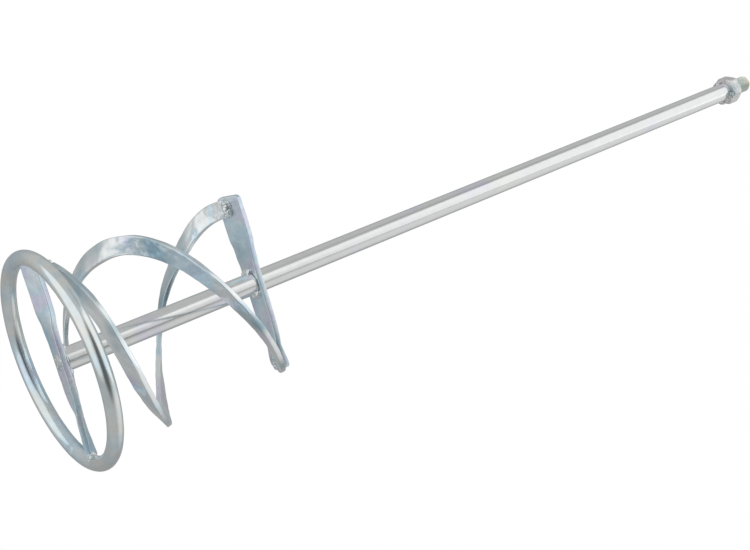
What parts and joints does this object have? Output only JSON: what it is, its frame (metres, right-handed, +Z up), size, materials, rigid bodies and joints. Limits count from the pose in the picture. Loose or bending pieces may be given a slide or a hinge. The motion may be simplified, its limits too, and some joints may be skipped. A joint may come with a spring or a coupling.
{
  "type": "mortar mixing paddle",
  "caption": "Welded steel stirrer for a mixing drill: round shaft with a threaded drive end, flat helical flights between a cross bar and a round bottom ring.",
  "frame": {"origin": "centre of the ring's underside, on the shaft's axis, on the ground that the paddle stands on", "axes": "+Z up along the shaft from the ring to the thread; the bottom cross bar lies along X"},
  "size_m": [0.13, 0.13, 0.6],
  "materials": {
    "tube_zinc": "bright zinc plate on smooth tube",
    "ring_zinc": "bright zinc plate on bent round bar",
    "strip_zinc": "blue-passivated zinc plate on flat strip",
    "weld_metal": "zinc plate over rough weld metal",
    "nut_zinc": "zinc plate on machined steel",
    "stud_zinc": "yellow-passivated zinc plate on a thread"
  },
  "bodies": {
    "root": {"ring": "ring_zinc", "ring_seam_weld": "weld_metal", "shaft_tube": "tube_zinc", "drive_nut": "nut_zinc", "threaded_stud": "stud_zinc", "bottom_crossbar": "strip_zinc", "top_crossbar": "strip_zinc", "flight_a": "strip_zinc", "flight_b": "strip_zinc", "foot_plug_weld": "weld_metal", "foot_weld_1": "weld_metal", "foot_weld_2": "weld_metal", "top_bar_weld_1": "weld_metal", "top_bar_weld_2": "weld_metal", "nut_weld_1": "weld_metal", "nut_weld_2": "weld_metal", "nut_weld_3": "weld_metal", "bar_ring_weld_1": "weld_metal", "bar_ring_weld_2": "weld_metal", "bar_ring_weld_3": "weld_metal", "bar_ring_weld_4": "weld_metal", "flight_a_ring_weld": "weld_metal", "flight_b_ring_weld": "weld_metal", "flight_a_top_weld": "weld_metal", "flight_b_top_weld": "weld_metal"}
  },
  "joints": []
}
